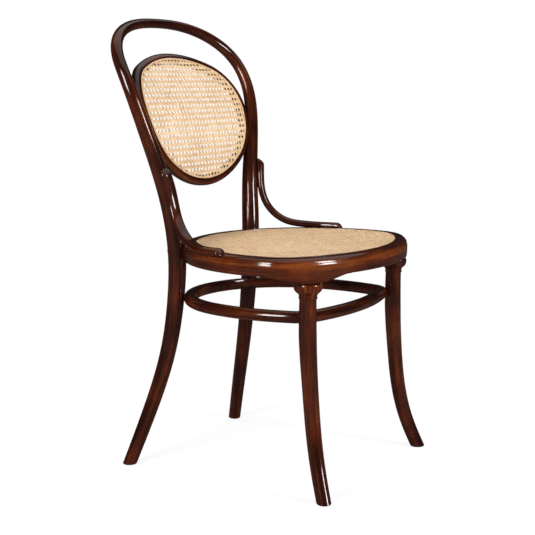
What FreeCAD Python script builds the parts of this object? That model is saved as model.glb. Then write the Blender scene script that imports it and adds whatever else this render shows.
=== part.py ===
import FreeCAD, Part
import math
import os
from FreeCAD import Vector, Rotation, Placement

# A bentwood bistro chair with cane seat and cane back. Millimetres.
# Z is up, the chair faces -Y, X runs across it, and the origin is on the floor
# under the centre of its bounding box. It is built in its right half and mirrored.

doc = FreeCAD.newDocument("bentwood_chair")
sheet = doc.addObject("Spreadsheet::Sheet", "driving_dimensions")
sheet_row = 0


def dimension(alias, value):
    """One driving dimension: a name, a plain number and its alias."""
    global sheet_row
    sheet_row += 1
    sheet.set("A%d" % sheet_row, alias)
    sheet.set("B%d" % sheet_row, str(value))
    sheet.setAlias("B%d" % sheet_row, alias)


# The bent rod of the back: heights of its named stations, then how far each
# station stands from the middle plane and how far back it lies.
dimension("ankle_height", 105)
dimension("knee_height", 220)
dimension("hoop_height", 323)
dimension("hip_height", 440)
dimension("waist_height", 540)
dimension("chest_height", 635)
dimension("shoulder_height", 750)
dimension("crown_height", 854.9)
dimension("rod_foot_side", 192.7)
dimension("rod_ankle_side", 165)
dimension("rod_knee_side", 142.7)
dimension("rod_hoop_side", 134.8)
dimension("rod_hip_side", 136.8)
dimension("rod_waist_side", 154)
dimension("rod_chest_side", 185)
dimension("rod_shoulder_side", 208.7)
dimension("rod_foot_back", 199.9)
dimension("rod_ankle_back", 169.3)
dimension("rod_knee_back", 140.5)
dimension("rod_hoop_back", 126)
dimension("rod_hip_back", 122.5)
dimension("rod_waist_back", 134.4)
dimension("rod_chest_back", 149.5)
dimension("rod_shoulder_back", 182.8)
dimension("rod_crown_back", 256.3)
dimension("rod_shoulder_lean", 0.5)
dimension("rod_arch_power", 2.38)
dimension("rod_foot_radius", 12.8)
dimension("rod_knee_radius", 15.0)
dimension("rod_hip_radius", 18.1)
dimension("rod_shoulder_radius", 12.4)
dimension("rod_crown_radius", 9.1)
dimension("foot_chamfer", 1.5)

# The front legs.
dimension("leg_foot_side", 204.3)
dimension("leg_ankle_side", 190.2)
dimension("leg_shin_side", 181.6)
dimension("leg_knee_side", 178.6)
dimension("leg_top_side", 178.2)
dimension("leg_foot_front", 237.5)
dimension("leg_ankle_front", 216.8)
dimension("leg_shin_front", 202.7)
dimension("leg_knee_front", 194.4)
dimension("leg_top_front", 188.8)
dimension("leg_ankle_height", 60)
dimension("leg_shin_height", 125)
dimension("leg_knee_height", 200)
dimension("leg_thigh_height", 290)
dimension("leg_foot_radius", 13.2)
dimension("leg_knee_radius", 14.6)
dimension("leg_thigh_radius", 16.2)
dimension("leg_neck_radius", 15.4)
dimension("neck_height", 361)
dimension("capital_foot_height", 370)
dimension("capital_foot_radius", 17.6)
dimension("capital_height", 389.2)
dimension("capital_radius", 25.8)
dimension("spigot_radius", 11)
dimension("spigot_length", 35)

# The seat rim. The cane edge line is the outline that the eye follows.
dimension("seat_top", 436.4)
dimension("rim_height", 32.7)
dimension("rim_outside", 18.9)
dimension("rim_inside", 20)
dimension("cane_front", 245.3)
dimension("cane_front_radius", 326)
dimension("cane_front_turn", 36)
dimension("cane_corner_radius", 75.3)
dimension("cane_corner_turn", 46.3)
dimension("cane_side_radius", 237.2)
dimension("cane_side_turn", 33.5)
dimension("groove_width", 4.5)
dimension("groove_depth", 5)
dimension("cane_thickness", 1.6)
dimension("block_depth", 14.5)
dimension("block_reach", 80)

# The stretcher hoop.
dimension("hoop_front", 203.1)
dimension("hoop_front_radius", 480)
dimension("hoop_front_turn", 17.2)
dimension("hoop_corner_radius", 43)
dimension("hoop_corner_turn", 55)
dimension("hoop_side_radius", 303)
dimension("hoop_side_turn", 31.4)
dimension("hoop_tall", 21)
dimension("hoop_wide", 20)

# The ring of the back panel, its outline seen from the front.
dimension("panel_bottom", 548.9)
dimension("panel_bottom_radius", 206.9)
dimension("panel_bottom_turn", 34.2)
dimension("panel_side_radius", 120.7)
dimension("panel_side_turn", 57.6)
dimension("panel_shoulder_radius", 79.9)
dimension("panel_shoulder_turn", 67.9)
dimension("ring_outside", 14.5)
dimension("ring_inside", 7)
dimension("ring_depth", 17)
dimension("panel_low_back", 145)
dimension("panel_high_back", 236.7)
dimension("panel_low_height", 533.6)
dimension("panel_high_height", 791.6)

# The braces and the hardware.
dimension("brace_width", 22)
dimension("brace_depth", 13.8)
dimension("bolt_radius", 3)
dimension("bolt_head_radius", 8)
dimension("bolt_height", 420)
dimension("washer_radius", 8)
dimension("washer_thickness", 1.5)
dimension("nut_across", 10)
dimension("nut_thickness", 5)
dimension("screw_radius", 2)
dimension("screw_head_radius", 4)
dimension("hoop_screw_length", 34)
dimension("brace_screw_length", 24)
dimension("ring_screw_length", 34)
doc.recompute()


def dim(alias):
    return float(sheet.get(alias))


parts = []


def keep(label, shape):
    """A finished sub-part as a feature of the document, under its own label."""
    feature = doc.addObject("Part::Feature", label)
    feature.Label = label
    feature.Shape = shape
    feature.Placement = Placement()
    parts.append(feature)
    return feature


def mirrored(shape):
    """The same piece on the other side of the middle plane."""
    return shape.mirror(Vector(0, 0, 0), Vector(1, 0, 0))


def one_solid(shape):
    """The single solid of a shape."""
    solids = shape.Solids
    if len(solids) != 1:
        raise ValueError("expected one solid, found %d" % len(solids))
    return solids[0]


def smooth_edge(points):
    """One smooth curve through the points."""
    curve = Part.BSplineCurve()
    curve.interpolate(points)
    return curve.toShape()


def between(fraction, stations, values):
    """The value at a fraction, with straight lines between the stations."""
    for left, right, low, high in zip(stations, stations[1:], values, values[1:]):
        if fraction <= right:
            return low + (high - low) * (fraction - left) / (right - left)
    return values[-1]


def circle_wire(centre, along, radius, marker):
    """A circle square to the path, with its seam on the marker's side."""
    circle = Part.Circle(centre, along, radius)
    circle.XAxis = (marker - along * marker.dot(along)).normalize()
    return Part.Wire(circle.toShape())


def smooth_wire(points):
    """One closed smooth curve through the points."""
    curve = Part.BSplineCurve()
    curve.interpolate(Points=points, PeriodicFlag=True)
    return Part.Wire(curve.toShape())


def rounded_section(half_wide, half_tall, power, count=16):
    """Points of a rounded rectangle: a superellipse, a square as the power grows."""
    points = []
    for number in range(count):
        angle = 2 * math.pi * (number + 0.5) / count
        across, up = math.cos(angle), math.sin(angle)
        points.append((math.copysign(abs(across) ** (2 / power), across) * half_wide,
                       math.copysign(abs(up) ** (2 / power), up) * half_tall))
    return points


def rod(path, sections, radius_at, marker):
    """A round bent rod along a path, with a radius for each fraction of its length."""
    wires = []
    for number in range(sections + 1):
        fraction = number / sections
        where = path.getParameterByLength(path.Length * fraction)
        wires.append(circle_wire(path.valueAt(where), path.tangentAt(where).normalize(),
                                 radius_at(fraction), marker))
    return Part.makeLoft(wires, True, False)


def above_floor(shape):
    """The piece cut level with the floor."""
    below = Part.makeBox(800, 800, 60, Vector(-400, -400, -60))
    return shape.cut(below)


def chamfered_foot(shape, x, y, radius):
    """A level foot with a small chamfer round its edge, at a place on the floor."""
    width = dim("foot_chamfer")
    here = Vector(x, y, 0)
    block = Part.makeCylinder(radius + 20, width, here)
    cone = Part.makeCone(radius - width, radius, width, here)
    return shape.cut(block.cut(cone))


class Outline:
    """A symmetric closed outline of tangent arcs, from its front to its back point.

    It starts on the middle line and takes three arcs, each a radius and a turn.
    A last arc, centred on the middle line, closes it.
    """

    def __init__(self, front, arcs):
        heading = 0.0
        x, y = 0.0, -front
        self.arcs = []
        for radius, turn in arcs:
            centre = (x - radius * math.sin(heading), y + radius * math.cos(heading))
            self.arcs.append((centre, radius, heading, heading + math.radians(turn)))
            heading += math.radians(turn)
            x = centre[0] + radius * math.sin(heading)
            y = centre[1] - radius * math.cos(heading)
        radius = x / math.sin(heading)
        self.arcs.append(((0.0, y + radius * math.cos(heading)), radius, heading, math.pi))

    def point(self, arc, angle, outward=0.0):
        """The point at an angle of one arc, moved outward."""
        (cx, cy), radius = arc[0], arc[1]
        reach = radius + outward
        return cx + reach * math.sin(angle), cy - reach * math.cos(angle)

    def along(self, distance, outward=0.0):
        """The point and outward direction at a distance from the front."""
        for arc in self.arcs:
            centre, radius, start, end = arc
            length = radius * (end - start)
            if distance <= length or arc is self.arcs[-1]:
                angle = start + distance / radius
                return self.point(arc, angle, outward), (math.sin(angle), -math.cos(angle))
            distance -= length

    def nearest(self, x, y):
        """The distance along the outline that lies nearest a place."""
        total = sum(arc[1] * (arc[3] - arc[2]) for arc in self.arcs)
        steps = [total * k / 2000 for k in range(2001)]
        return min(steps, key=lambda s: math.dist(self.along(s)[0], (x, y)))

    def wire(self, outward=0.0, height=0.0):
        """The whole outline as arcs at one height."""
        edges = []
        for arc in self.arcs:
            stations = [arc[2], (arc[2] + arc[3]) / 2, arc[3]]
            spots = [Vector(*self.point(arc, a, outward), height) for a in stations]
            edges.append(Part.Arc(*spots).toShape())
        mirrored_edges = [mirrored(edge) for edge in reversed(edges)]
        return Part.Wire(Part.__sortEdges__(edges + mirrored_edges))

    def sweep(self, section):
        """A section, drawn as outward and up, carried round the whole outline."""
        pieces = []
        for arc in self.arcs:
            centre, radius, start, end = arc
            face = section(radius)
            face.translate(Vector(centre[0], centre[1], 0))
            face.rotate(Vector(centre[0], centre[1], 0), Vector(0, 0, 1),
                        math.degrees(start) - 90)
            piece = face.revolve(Vector(centre[0], centre[1], 0), Vector(0, 0, 1),
                                 math.degrees(end - start))
            pieces.append(piece)
        half = pieces[0].multiFuse(pieces[1:])
        return half.fuse(mirrored(half)).removeSplitter()


def section_face(corners, radius):
    """A face in the XZ plane from (outward, up) points and arcs, at a radius.

    Each item is a point, or a pair of points: the middle and the end of an arc.
    """
    def spot(pair):
        return Vector(radius + pair[0], 0, pair[1])

    edges = []
    here = corners[0]
    for item in corners[1:] + corners[:1]:
        if isinstance(item[0], tuple):
            middle, end = item
            edges.append(Part.Arc(spot(here), spot(middle), spot(end)).toShape())
            here = end
        else:
            edges.append(Part.makeLine(spot(here), spot(item)))
            here = item
    return Part.Face(Part.Wire(edges))


# back_loop: both back legs and the outer hoop, one rod
names = ["foot", "ankle", "knee", "hoop", "hip", "waist", "chest", "shoulder"]
heights = [0.0] + [dim(name + "_height") for name in names[1:]]
sides = [dim("rod_%s_side" % name) for name in names]
backs = [dim("rod_%s_back" % name) for name in names]


def arch_point(angle):
    """A point of the crown: a superellipse quarter, leaning back more as it rises."""
    power = 2 / dim("rod_arch_power")
    rise = dim("crown_height") - dim("shoulder_height")
    up = rise * math.sin(angle) ** power
    side = dim("rod_shoulder_side") * math.cos(angle) ** power
    lean = dim("rod_shoulder_lean")
    bend = (dim("rod_crown_back") - dim("rod_shoulder_back") - lean * rise) / rise ** 2
    back = dim("rod_shoulder_back") + lean * up + bend * up ** 2
    return Vector(side, back, dim("shoulder_height") + up)


right_points = [Vector(x, y, z) for x, y, z in zip(sides, backs, heights)]
foot_run = (right_points[0] - right_points[1]).normalize()
right_points.insert(0, right_points[0] + foot_run * 20)
crown_angles = [math.radians(a) for a in (18, 36, 54, 72)]
right_points += [arch_point(a) for a in crown_angles]
crown = Vector(0, dim("rod_crown_back"), dim("crown_height"))
left_points = [Vector(-p.x, p.y, p.z) for p in reversed(right_points)]
loop_path = smooth_edge(right_points + [crown] + left_points)

radius_stations = [0.0, 0.215, 0.44, 0.70, 1.0]
radius_values = [dim("rod_%s_radius" % n) for n in ("foot", "knee", "hip", "shoulder", "crown")]


def rod_radius(fraction):
    from_foot = 2 * min(fraction, 1 - fraction)
    return between(from_foot, radius_stations, radius_values)


back_loop = rod(loop_path, 60, rod_radius, Vector(0, 1, 0))
back_loop = above_floor(back_loop)
for side in (-1, 1):
    back_loop = chamfered_foot(back_loop, side * dim("rod_foot_side"), dim("rod_foot_back"),
                               dim("rod_foot_radius"))
back_loop = one_solid(back_loop)


# left_front_leg, right_front_leg: turned, then bent, with a spigot
def front_leg_shape():
    sides = [dim("leg_%s_side" % n) for n in ("foot", "ankle", "shin", "knee", "top", "top")]
    fronts = [dim("leg_%s_front" % n) for n in ("foot", "ankle", "shin", "knee", "top", "top")]
    levels = [0, dim("leg_ankle_height"), dim("leg_shin_height"), dim("leg_knee_height"),
              dim("leg_thigh_height"), dim("neck_height") + 6]
    points = [Vector(x, -y, z) for x, y, z in zip(sides, fronts, levels)]
    points.insert(0, points[0] + (points[0] - points[1]).normalize() * 20)
    path = smooth_edge(points)
    stations = [0, 0.55, 0.82, 1]
    radii = [dim("leg_%s_radius" % n) for n in ("foot", "knee", "thigh", "neck")]
    radii[-1] -= 0.4
    shaft = rod(path, 20, lambda f: between(f, stations, radii), Vector(0, 1, 0))
    shaft = chamfered_foot(above_floor(shaft), dim("leg_foot_side"), -dim("leg_foot_front"),
                           dim("leg_foot_radius"))

    # The turned top: neck fillet, bell and spigot, revolved about the leg's axis.
    neck = dim("neck_height")
    foot = dim("capital_foot_height")
    top = dim("capital_height")
    slim = dim("leg_neck_radius")
    waist = dim("capital_foot_radius")
    wide = dim("capital_radius")
    pin = dim("spigot_radius")
    tip = top + dim("spigot_length") - 2
    ring = (waist + slim) / 2 + 0.6
    corners = [(0, neck), (slim, neck), ((ring + 0.8, neck + 1.4), (ring, neck + 2.8)),
               (slim + 0.6, neck + 3.4), (waist - 0.8, foot - 1), (waist, foot),
               ((wide - 2.3, foot + 6.2), (wide, foot + 10)), ((wide + 0.3, top - 2.4), (wide - 0.8, top)),
               (pin, top), (pin, tip - 2), (pin - 2, tip), (0, tip)]
    face = section_face(corners, 0)
    turned = face.revolve(Vector(0, 0, 0), Vector(0, 0, 1), 360)
    turned.translate(Vector(dim("leg_top_side"), -dim("leg_top_front"), 0))
    return one_solid(shaft.fuse(turned).removeSplitter())


# seat_rim: a bent ring with a groove and a rebate for the cane
seat_line = Outline(dim("cane_front"), [
    (dim("cane_front_radius"), dim("cane_front_turn")),
    (dim("cane_corner_radius"), dim("cane_corner_turn")),
    (dim("cane_side_radius"), dim("cane_side_turn"))])
seat_top = dim("seat_top")
rim_bottom = seat_top - dim("rim_height")
rim_out = dim("rim_outside")
rim_in = dim("rim_inside")
groove = dim("groove_width")
cane = dim("cane_thickness")


def rim_section(radius):
    shoulder = 9.0
    foot = 4.0
    bulge = 1.2
    corners = [(0, seat_top), (rim_out - shoulder, seat_top),
               ((rim_out - 3.0, seat_top - 2.4), (rim_out, seat_top - 10)),
               ((rim_out + bulge, seat_top - 17), (rim_out - 0.6, rim_bottom + foot)),
               ((rim_out - 1.6, rim_bottom + 1.2), (rim_out - 4.4, rim_bottom)),
               (-rim_in + 2, rim_bottom), (-rim_in, rim_bottom + 2),
               (-rim_in, seat_top - cane), (-groove, seat_top - cane),
               (-groove, seat_top - dim("groove_depth")), (0, seat_top - dim("groove_depth"))]
    return section_face(corners, radius)


seat_rim = one_solid(seat_line.sweep(rim_section))


def spline_section(radius):
    """A reed with a low crown, pressed in the groove."""
    low = seat_top - dim("groove_depth")
    corners = [(-groove, low), (0, low), (0, seat_top - 0.2),
               ((-groove / 2, seat_top + 0.9), (-groove, seat_top - 0.2))]
    return section_face(corners, radius)


seat_spline = one_solid(seat_line.sweep(spline_section))


def leg_block_shape():
    """The glued swelling under the rim, deepest at the leg and fading out both ways."""
    reach = dim("block_reach")
    depth = dim("block_depth")
    middle = seat_line.nearest(dim("leg_top_side"), -dim("leg_top_front"))
    outer = rim_out - 1.4
    inner = -rim_in - 8
    wires = []
    steps = 16
    for number in range(steps + 1):
        away = reach * (2 * number / steps - 1)
        fade = math.cos(math.pi / 2 * abs(away) / reach) ** 1.7
        deep = 0.7 + (depth - 0.7) * fade
        draw_in = 6.0 * (1 - fade)
        (x, y), (nx, ny) = seat_line.along(middle + away)
        base = Vector(x, y, rim_bottom)
        out = Vector(nx, ny, 0)
        down = Vector(0, 0, -1)
        soft = deep * 0.3
        spots = [base + out * (inner + draw_in), base + out * (outer - draw_in * 0.15),
                 base + out * (outer - draw_in * 0.15) + down * (deep - soft),
                 base + out * (outer - soft - draw_in * 0.15) + down * deep,
                 base + out * (inner + soft + draw_in) + down * deep,
                 base + out * (inner + draw_in) + down * (deep - soft)]
        wires.append(Part.makePolygon(spots + spots[:1]))
    return Part.makeLoft(wires, True, False)


leg_axis = Vector(dim("leg_top_side"), -dim("leg_top_front"), 0)
spigot_hole = Part.makeCylinder(dim("spigot_radius"), dim("spigot_length") - 2,
                                leg_axis + Vector(0, 0, dim("capital_height")))
right_leg = front_leg_shape()
right_block = leg_block_shape().cut(spigot_hole)
flat_under = Part.makeBox(120, 120, 60, leg_axis + Vector(-60, -60, dim("capital_height") - 60))
right_block = one_solid(right_block.cut(flat_under))
seat_rim = seat_rim.cut(spigot_hole).cut(mirrored(spigot_hole))


# stretcher_hoop: a bent ring, flat inside and rounded outside
hoop_line = Outline(dim("hoop_front"), [
    (dim("hoop_front_radius"), dim("hoop_front_turn")),
    (dim("hoop_corner_radius"), dim("hoop_corner_turn")),
    (dim("hoop_side_radius"), dim("hoop_side_turn"))])
hoop_level = dim("hoop_height")


def hoop_section(radius):
    tall = dim("hoop_tall") / 2
    wide = dim("hoop_wide") / 2
    flat = wide * 0.1
    slope = tall * 0.72
    corners = [(-wide, hoop_level - tall + 2), (-wide + 2, hoop_level - tall),
               (flat, hoop_level - tall),
               ((wide - 2.6, hoop_level - slope), (wide, hoop_level)),
               ((wide - 2.6, hoop_level + slope), (flat, hoop_level + tall)),
               (-wide + 2, hoop_level + tall), (-wide, hoop_level + tall - 2)]
    return section_face(corners, radius)


stretcher_hoop = one_solid(hoop_line.sweep(hoop_section))

# back_panel_ring, its cane and its spline: an egg outline on a surface that leans
# back like a quarter of an ellipse, so it stands upright at the bottom
panel_line = Outline(0, [
    (dim("panel_bottom_radius"), dim("panel_bottom_turn")),
    (dim("panel_side_radius"), dim("panel_side_turn")),
    (dim("panel_shoulder_radius"), dim("panel_shoulder_turn"))])
panel_low = dim("panel_low_height")
panel_rise = dim("panel_high_height") - panel_low


def panel_back(height):
    """How far back the panel's middle surface lies at a height."""
    up = (height - panel_low) / panel_rise
    reach = dim("panel_high_back") - dim("panel_low_back")
    return dim("panel_low_back") + reach * (0.08 * up + 0.92 * abs(up) ** 2.7)


def panel_normal(height):
    """The backward and downward normal of the panel surface."""
    slope = (panel_back(height + 0.5) - panel_back(height - 0.5))
    return Vector(0, 1, -slope).normalize()


def panel_spot(distance, outward):
    """A point of the panel surface, from a distance along its outline."""
    (x, up), (nx, nz) = panel_line.along(distance, outward)
    height = dim("panel_bottom") + up
    return Vector(x, panel_back(height), height)


panel_length = sum(arc[1] * (arc[3] - arc[2]) for arc in panel_line.arcs)


def ring_frame(distance):
    """A point of the outline with its outward and backward directions."""
    (x, up), (nx, nz) = panel_line.along(distance)
    here = panel_spot(distance, 0)
    back = panel_normal(here.z)
    ahead = (panel_spot(distance, 1.0) - here).normalize()
    out = (ahead - back * ahead.dot(back)).normalize()
    return here, out, back


def ring_loft(section, steps, curved):
    """A section of (outward, back) points carried round the panel outline."""
    wires = []
    for number in range(steps + 1):
        here, out, back = ring_frame(panel_length * number / steps)
        if number in (0, steps):
            out = Vector(0, out.y, out.z).normalize()
        spots = [here + out * p[0] + back * p[1] for p in section]
        wires.append(smooth_wire(spots) if curved else Part.makePolygon(spots + spots[:1]))
    half = Part.makeLoft(wires, True, False)
    return half.fuse(mirrored(half)).removeSplitter()


ring_out = dim("ring_outside")
ring_in = dim("ring_inside")
deep = dim("ring_depth") / 2
ring_middle = (ring_out - ring_in) / 2
ring_half = (ring_out + ring_in) / 2
ring_section = [(ring_middle + p[0], p[1]) for p in rounded_section(ring_half, deep, 3.0)]
bed = -deep + 1.3 + cane
rebate_section = [(-3.6, bed), (-3.6, -deep - 3), (-ring_in - 3, -deep - 3), (-ring_in - 3, bed)]
groove_section = [(0, bed + 3.5), (0, -deep - 3), (-3.7, -deep - 3), (-3.7, bed + 3.5)]
bead_section = [(0, bed + 3.5), (0, bed - 2.0), (-1.0, bed - 2.9), (-2.7, bed - 2.9),
                (-3.7, bed - 2.0), (-3.7, bed + 3.5)]
back_panel_ring = ring_loft(ring_section, 18, True)
back_panel_ring = back_panel_ring.cut(ring_loft(groove_section, 24, False))
back_panel_ring = one_solid(back_panel_ring.cut(ring_loft(rebate_section, 24, False)))
back_cane_spline = one_solid(ring_loft(bead_section, 24, False))


def net_face(edge, pitch, hole, limit):
    """A flat face with a grid of square holes that keep clear of its edge wire."""
    face = Part.Face(edge)
    box = face.BoundBox
    holes = []
    count_x = int(box.XLength / pitch / 2)
    count_y = int(box.YLength / pitch / 2)
    centre_y = (box.YMin + box.YMax) / 2
    for i in range(-count_x, count_x + 1):
        for j in range(-count_y, count_y + 1):
            spot = Vector(i * pitch, centre_y + j * pitch, edge.BoundBox.ZMin)
            corner = hole / 2
            corners = [spot + Vector(sx * corner, sy * corner, 0)
                       for sx, sy in ((-1, -1), (1, -1), (1, 1), (-1, 1))]
            clear = all(face.isInside(c, 0.01, True) for c in corners)
            if clear and edge.distToShape(Part.Vertex(spot))[0] > hole * 0.5 + limit:
                holes.append(Part.makePolygon(corners + corners[:1]))
    return Part.makeFace([edge] + holes, "Part::FaceMakerBullseye")


seat_edge = seat_line.wire(-groove, seat_top - cane)
seat_cane = net_face(seat_edge, 22.0, 8.0, rim_in - groove).extrude(Vector(0, 0, cane))
seat_cane = one_solid(seat_cane)


def back_cane_shape():
    """The cane of the back: a holed sheet, bent to the panel surface."""
    flat = panel_line.wire(-4.2, 0)
    holed = net_face(flat, 15.5, 7.0, ring_in - 3.6)
    prism = holed.extrude(Vector(0, 0, 400))
    prism.rotate(Vector(0, 0, 0), Vector(1, 0, 0), 90)
    prism.translate(Vector(0, 350, dim("panel_bottom")))
    front, rear = [], []
    steps = 12
    for number in range(steps + 1):
        height = panel_low + panel_rise * number / steps
        surface = Vector(0, panel_back(height), height)
        normal = panel_normal(height)
        front.append(surface + normal * (-deep + 1))
        rear.append(surface + normal * (-deep + 1 + cane))
    edges = [Part.makeLine(front[0], rear[0]), smooth_edge(rear),
             Part.makeLine(rear[-1], front[-1]), smooth_edge(front)]
    profile = Part.Face(Part.Wire(Part.__sortEdges__(edges)))
    profile.translate(Vector(-250, 0, 0))
    slab = profile.extrude(Vector(500, 0, 0))
    return one_solid(prism.common(slab))


back_cane = back_cane_shape()


# left_brace, right_brace: bent bars from the posts down to the rim, their ends cut
# on a slope
brace_knots = [Vector(171.3, 118.6, 566.4), Vector(164.8, 114.6, 541.7),
               Vector(162.4, 107.8, 506.3), Vector(167.6, 95.4, 478.3),
               Vector(184.9, 62.9, 450), Vector(204.3, 35.2, 442.8),
               Vector(219.5, 13.4, 440.4), Vector(230.5, -32.5, 439.6)]
top_slope = 10.0
seat_slope = 9.0


def brace_shape():
    """A bar lofted past both ends of its line, and cut there on a slope.

    The section starts a quarter turn round, so that its seam is clear of the cuts.
    """
    path = smooth_edge(brace_knots)
    wide = dim("brace_width") / 2
    tall = dim("brace_depth") / 2
    section = rounded_section(wide, tall, 2.6, 12)
    section = section[9:] + section[:9]
    wires, ends = [], []
    steps = 20
    spare = 12
    for number in range(-1, steps + 2):
        fraction = min(max(number, 0), steps) / steps
        where = path.getParameterByLength(path.Length * fraction)
        here = path.valueAt(where)
        along = path.tangentAt(where).normalize()
        up = Vector(0.25, -0.75, 0.15) * (1 - fraction) + Vector(0.15, 0, 1) * fraction
        up = (up - along * up.dot(along)).normalize()
        side = along.cross(up)
        if number in (0, steps):
            ends.append((here, along * (1 if number else -1), up, side))
        if number in (-1, steps + 1):
            here = here + along * (spare if number > 0 else -spare)
        wires.append(smooth_wire([here + side * p[0] + up * p[1] for p in section]))
    bar = Part.makeLoft(wires, True, False)
    for (here, away, up, side), slope in zip(ends, (top_slope, seat_slope)):
        slant = (up * (2 * tall) - away * slope).normalize()
        middle = here + away * (slope * 0.5 + 1.0)
        corners = [middle + side * 30 * i + slant * 45 * j
                   for i, j in ((-1, -1), (1, -1), (1, 1), (-1, 1))]
        face = Part.Face(Part.makePolygon(corners + corners[:1]))
        beyond = (away + up * (slope / (2 * tall))).normalize()
        bar = bar.cut(face.extrude(beyond * 50))
    return bar


# The hardware. Every piece is a group of document primitives bound to the sheet.
def bound(kind, label, sizes, placement):
    """A document primitive whose sizes follow the sheet."""
    item = doc.addObject(kind, label)
    for name, formula in sizes.items():
        item.setExpression(name, formula)
    item.Placement = placement
    return item


def facing(spot, direction):
    """The placement that stands a primitive on a spot, along a direction."""
    return Placement(spot, Rotation(Vector(0, 0, 1), direction))


def cell(alias):
    return "driving_dimensions." + alias


def group(label, items):
    """Separate solids of one kind of fastener, as one sub-part."""
    compound = doc.addObject("Part::Compound", label)
    compound.Label = label
    compound.Links = items
    parts.append(compound)


def wood_screw(label, spot, direction, length_alias):
    """A countersunk screw: its head is level with the spot, its point ahead of it."""
    head = bound("Part::Cone", label + "_head",
                 {"Radius1": cell("screw_head_radius"), "Radius2": cell("screw_radius"),
                  "Height": cell("screw_head_radius") + " - " + cell("screw_radius")},
                 facing(spot, direction))
    shank = bound("Part::Cylinder", label + "_shank",
                  {"Radius": cell("screw_radius"),
                   "Height": cell(length_alias) + " - 2 * " + cell("screw_radius")},
                  facing(spot, direction))
    tip_start = spot + direction * (dim(length_alias) - 2 * dim("screw_radius"))
    tip = bound("Part::Cone", label + "_tip",
                {"Radius1": cell("screw_radius"), "Height": "2 * " + cell("screw_radius")},
                facing(tip_start, direction))
    tip.Radius2 = 0
    screw = doc.addObject("Part::MultiFuse", label)
    screw.Shapes = [head, shank, tip]
    return screw


def both_sides(spot, direction):
    """The right-hand place and its mirror image, as (name, spot, direction)."""
    return (("right", spot, direction),
            ("left", Vector(-spot.x, spot.y, spot.z), Vector(-direction.x, direction.y, direction.z)))


def screw_pair(label, spot, direction, length_alias):
    """A screw on each side of the chair, as one sub-part, and their solids."""
    screws = [wood_screw("%s_%s" % (label, side), where, way, length_alias)
              for side, where, way in both_sides(spot, direction)]
    group(label, screws)
    return screws


def rod_axis(level):
    """The right post's centre at a height, found by halving along its path."""
    low, high = 0.0, loop_path.Length / 2
    for _ in range(40):
        middle = (low + high) / 2
        spot = loop_path.valueAt(loop_path.getParameterByLength(middle))
        if spot.z < level:
            low = middle
        else:
            high = middle
    return spot, rod_radius(low / loop_path.Length)


# seat_bolts, seat_bolt_washers, seat_bolt_nuts: through each post and the rim
post_centre, post_radius = rod_axis(dim("bolt_height"))
rim_spot, rim_way = seat_line.along(seat_line.nearest(post_centre.x, post_centre.y))
bolt_way = Vector(-rim_way[0], -rim_way[1], 0)
head_seat = post_centre - bolt_way * (post_radius - 3.6)
rim_face = Vector(rim_spot[0], rim_spot[1], dim("bolt_height")) + bolt_way * (rim_in + 0.2)
grip = (rim_face - head_seat).dot(bolt_way)
rim_face = head_seat + bolt_way * grip
bolts, washers, nuts, bolt_holes = [], [], [], []
sheet_grip = "%.2f + " % grip
for side, seat, way in both_sides(head_seat, bolt_way):
    face = Vector(math.copysign(rim_face.x, seat.x), rim_face.y, rim_face.z)
    shank = bound("Part::Cylinder", "bolt_shank_" + side,
                  {"Radius": cell("bolt_radius"),
                   "Height": sheet_grip + cell("washer_thickness") + " + 1.4 * " + cell("nut_thickness")},
                  facing(seat, way))
    dome = bound("Part::Sphere", "bolt_dome_" + side,
                 {"Radius": "1.25 * " + cell("bolt_head_radius")},
                 facing(seat + way * (0.75 * dim("bolt_head_radius")), way * -1))
    dome.Angle1 = 36.87
    head = doc.addObject("Part::MultiFuse", "seat_bolt_" + side)
    head.Shapes = [shank, dome]
    bolts.append(head)
    disc = bound("Part::Cylinder", "washer_disc_" + side,
                 {"Radius": cell("washer_radius"), "Height": cell("washer_thickness")},
                 facing(face, way))
    hexagon = bound("Part::Prism", "nut_hexagon_" + side,
                    {"Circumradius": cell("nut_across") + " / sqrt(3)",
                     "Height": cell("nut_thickness")},
                    facing(face + way * dim("washer_thickness"), way))
    for body, pile, name in ((disc, washers, "seat_bolt_washer_"), (hexagon, nuts, "seat_bolt_nut_")):
        bore = bound("Part::Cylinder", name + "bore_" + side,
                     {"Radius": cell("bolt_radius"), "Height": "20"}, facing(face - way * 5, way))
        ring = doc.addObject("Part::Cut", name + side)
        ring.Base, ring.Tool = body, bore
        pile.append(ring)
    bolt_holes.append(Part.makeCylinder(dim("bolt_radius"), 100, seat, way))
    bolt_holes.append(Part.makeCylinder(dim("bolt_head_radius"), 30, seat, way * -1))
group("seat_bolts", bolts)
group("seat_bolt_washers", washers)
group("seat_bolt_nuts", nuts)

# hoop_front_screws, hoop_back_screws: from inside the hoop into the four legs
hoop_screws = []
post_at_hoop, post_at_hoop_radius = rod_axis(hoop_level)
for label, target in (("hoop_front_screws", leg_axis), ("hoop_back_screws", post_at_hoop)):
    spot, way = hoop_line.along(hoop_line.nearest(target.x, target.y), -dim("hoop_wide") / 2)
    hoop_screws += screw_pair(label, Vector(spot[0], spot[1], hoop_level),
                              Vector(way[0], way[1], 0), "hoop_screw_length")

# brace_top_screws and brace_seat_screws: through the ends of the braces
top_knot = brace_knots[0] * 0.55 + brace_knots[1] * 0.45
post_there, post_there_radius = rod_axis(top_knot.z)
top_way = Vector(post_there.x - top_knot.x, post_there.y - top_knot.y, 0).normalize()
brace_screws = screw_pair("brace_top_screws", top_knot - top_way * (dim("brace_depth") / 2 - 0.6),
                          top_way, "brace_screw_length")
low_knot = brace_knots[-1] * 0.6 + brace_knots[-2] * 0.4
brace_screws += screw_pair("brace_seat_screws",
                           low_knot + Vector(0, 0, dim("brace_depth") / 2 - 0.9),
                           Vector(0, 0, -1), "brace_screw_length")

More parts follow.
